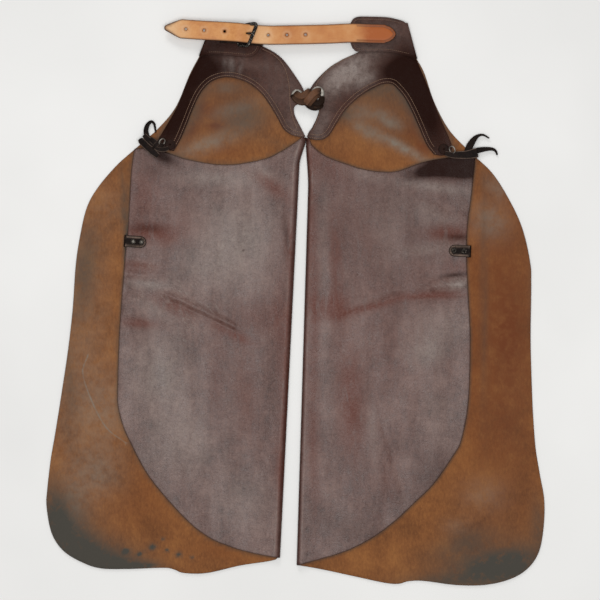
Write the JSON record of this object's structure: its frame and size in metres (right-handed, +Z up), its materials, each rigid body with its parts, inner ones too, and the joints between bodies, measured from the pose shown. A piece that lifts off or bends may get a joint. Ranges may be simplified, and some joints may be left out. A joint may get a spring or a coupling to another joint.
{
  "type": "leather chaps laid flat",
  "caption": "Batwing leather chaps laid out flat with the back of the legs up: suede wings, folded smooth legs, yokes, buckled belt strap, front lace and hip ties.",
  "frame": {"origin": "middle of the underside of the garment as it lies, at the surface that it lies on", "axes": "+Y from the hem to the waist, +Z up from the surface, +X to the right seen from above with the waist at the top"},
  "size_m": [0.8707, 0.9942, 0.0255],
  "materials": {
    "hide": "smooth waxed grain outside, orange-brown suede inside",
    "yoke_leather": "dark brown smooth leather with double rows of stitching",
    "strap_leather": "tan harness leather with dark painted edges",
    "black_leather": "black oiled leather",
    "lace_leather": "soft brown lace, worn",
    "black_iron": "blackened, slightly worn",
    "nickel": "dull nickel plate"
  },
  "bodies": {
    "root": {"left_leg": "hide", "right_leg": "hide", "left_yoke": "yoke_leather", "right_yoke": "yoke_leather", "billet_strap": "strap_leather", "buckle_chape": "black_leather", "buckle_frame": "black_iron", "buckle_tongue": "black_iron", "left_eyelet": "nickel", "right_eyelet": "nickel", "front_lace": "lace_leather", "left_snap_tab": "black_leather", "right_snap_tab": "black_leather", "left_snap_1": "black_iron", "left_snap_2": "black_iron", "right_snap_1": "black_iron", "right_snap_2": "black_iron", "left_rosette": "black_leather", "right_rosette": "black_leather", "left_tie_ring": "black_iron", "right_tie_ring": "black_iron", "left_tie_band": "black_leather", "left_tie_loop": "black_leather", "left_tie_tail": "black_leather", "right_tie_band": "black_leather", "right_upper_tail": "black_leather", "right_lower_tail": "black_leather"}
  },
  "joints": []
}
